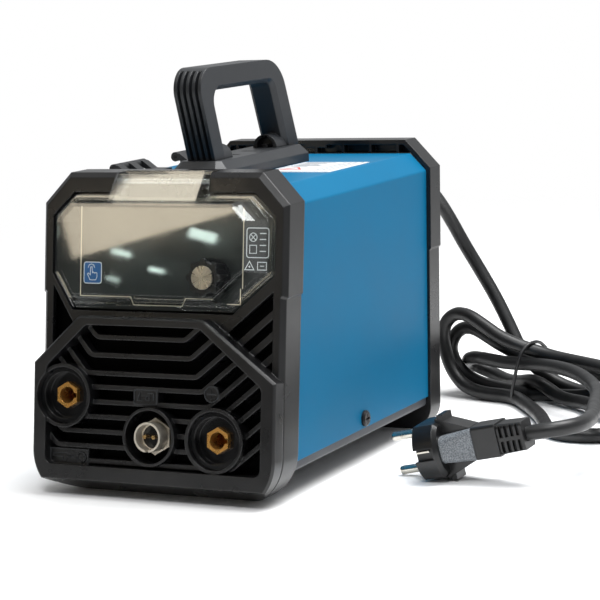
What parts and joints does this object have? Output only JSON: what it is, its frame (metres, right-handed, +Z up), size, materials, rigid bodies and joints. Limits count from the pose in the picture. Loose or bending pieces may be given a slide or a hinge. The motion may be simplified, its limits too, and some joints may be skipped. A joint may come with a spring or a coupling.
{
  "type": "inverter mig welder",
  "caption": "Compact inverter MIG welder with carrying handle, flip-up clear guard, front sockets, side door over the wire spool and a mains lead.",
  "frame": {"origin": "middle of the machine's footprint on the surface that it stands on", "axes": "+Z up, -Y towards the control panel, +X to the right of a person facing the panel from the front"},
  "size_m": [0.2831, 0.3391, 0.225],
  "materials": {
    "black_plastic": "fine grained moulding",
    "clear_plastic": "clear polycarbonate",
    "gloss_black": "glossy membrane",
    "steel": "turned",
    "zinc": "zinc plated",
    "knob_black": "semi gloss",
    "silver_cap": "spun",
    "board": "solder mask",
    "socket_plastic": "semi gloss",
    "brass": "turned",
    "nut_brass": "satin",
    "nickel": "nickel plated",
    "pin_metal": "plated",
    "grey_sheet": "powder coat",
    "rocker_red": "gloss",
    "gland_nylon": "nylon",
    "cord_rubber": "matt rubber",
    "blue_paint": "fine texture powder coat",
    "latch_plastic": "moulded",
    "hinge_black": "black powder coat",
    "handle_plastic": "fine grained moulding",
    "screw_black": "black oxide",
    "label": "printed film",
    "heatsink_alu": "extruded",
    "capacitor_sleeve": "sleeve",
    "ferrite": "sintered",
    "copper_winding": "enamelled copper wire",
    "fan_black": "moulded",
    "spool_black": "moulded",
    "welding_wire": "copper washed wire",
    "feeder_alu": "die cast",
    "tie_nylon": "nylon",
    "plug_rubber": "moulded PVC",
    "plug_metal": "nickel plated brass"
  },
  "bodies": {
    "housing": {"front_bezel": "black_plastic", "control_fascia": "gloss_black", "guard_hinge_pin": "steel", "potentiometer": "zinc", "control_board": "board", "socket_housings": "socket_plastic", "socket_contacts": "brass", "socket_nuts": "nut_brass", "torch_connector_shell": "nickel", "torch_connector_insert": "socket_plastic", "torch_connector_pins": "pin_metal", "rear_bezel": "black_plastic", "rear_panel": "grey_sheet", "switch_frame": "black_plastic", "cable_gland": "gland_nylon", "strain_relief": "cord_rubber", "top_cover": "blue_paint", "base_pan": "grey_sheet", "hinge_leaves_fixed": "hinge_black", "hinge_pins": "steel", "handle_grip": "handle_plastic", "handle_base": "handle_plastic", "case_screws": "screw_black", "roof_label": "label", "partition": "grey_sheet", "power_board": "board", "heatsinks": "heatsink_alu", "capacitors": "capacitor_sleeve", "transformer_core": "ferrite", "power_windings": "copper_winding", "fan_frame": "fan_black", "spool_post": "spool_black", "spool_nut": "spool_black", "feed_plate": "feeder_alu", "feed_motor": "zinc", "wire_guides": "nut_brass", "cord_drop": "cord_rubber", "cord_tail": "cord_rubber", "cord_hank": "cord_rubber", "cable_tie": "tie_nylon", "plug_body": "plug_rubber", "plug_contacts": "plug_metal", "plug_relief": "plug_rubber"},
    "guard": {"clear_guard": "clear_plastic"},
    "knob": {"control_knob": "knob_black", "knob_cap": "silver_cap"},
    "door": {"side_door": "blue_paint", "hinge_leaves_door": "hinge_black"},
    "latch_front": {"door_latch_front": "latch_plastic"},
    "latch_rear": {"door_latch_rear": "latch_plastic"},
    "rocker": {"switch_rocker": "rocker_red"},
    "fan": {"fan_rotor": "fan_black"},
    "spool": {"wire_spool": "spool_black", "wire_winding": "welding_wire"},
    "drive": {"drive_roller": "steel"},
    "idler": {"idler_arm": "feeder_alu"},
    "idler_wheel": {"idler_roller": "steel"},
    "tension": {"tension_knob": "knob_black"}
  },
  "joints": [
    {"name": "guard_hinge", "type": "hinge", "parent": "housing", "child": "guard", "pos_m": [0, -0.0804, 0.16703], "axis": [-1, 0, 0], "range_deg": [0, 100]},
    {"name": "knob_turn", "type": "hinge", "parent": "housing", "child": "knob", "pos_m": [0.0308, -0.09185, 0.11768], "axis": [0, -0.9889, 0.1483], "range_deg": [-135, 135]},
    {"name": "door_hinge", "type": "hinge", "parent": "housing", "child": "door", "pos_m": [-0.0676, 0, 0.1676], "axis": [0, 1, 0], "range_deg": [0, 110]},
    {"name": "latch_front_turn", "type": "hinge", "parent": "door", "child": "latch_front", "pos_m": [-0.0723, -0.038, 0.027], "axis": [-1, 0, 0], "range_deg": [0, 90]},
    {"name": "latch_rear_turn", "type": "hinge", "parent": "door", "child": "latch_rear", "pos_m": [-0.0723, 0.052, 0.027], "axis": [-1, 0, 0], "range_deg": [0, 90]},
    {"name": "switch_rock", "type": "hinge", "parent": "housing", "child": "rocker", "pos_m": [-0.034, 0.10923, 0.13799], "axis": [-1, 0, 0], "range_deg": [0, 17]},
    {"name": "fan_spin", "type": "hinge", "parent": "housing", "child": "fan", "pos_m": [0.0336, 0.08859, 0.06332], "axis": [0, 0.9972, -0.0748], "continuous": true},
    {"name": "spool_spin", "type": "hinge", "parent": "housing", "child": "spool", "pos_m": [-0.028, 0.028, 0.086], "axis": [1, 0, 0], "continuous": true},
    {"name": "drive_spin", "type": "hinge", "parent": "housing", "child": "drive", "pos_m": [-0.015, -0.046, 0.062], "axis": [1, 0, 0], "continuous": true},
    {"name": "idler_lift", "type": "hinge", "parent": "housing", "child": "idler", "pos_m": [-0.015, -0.064, 0.082], "axis": [1, 0, 0], "range_deg": [0, 35]},
    {"name": "idler_spin", "type": "hinge", "parent": "idler", "child": "idler_wheel", "pos_m": [-0.015, -0.046, 0.0824], "axis": [1, 0, 0], "continuous": true},
    {"name": "tension_turn", "type": "hinge", "parent": "idler", "child": "tension", "pos_m": [-0.016, -0.03, 0.107], "axis": [0, 0, 1], "range_deg": [-180, 180]}
  ]
}
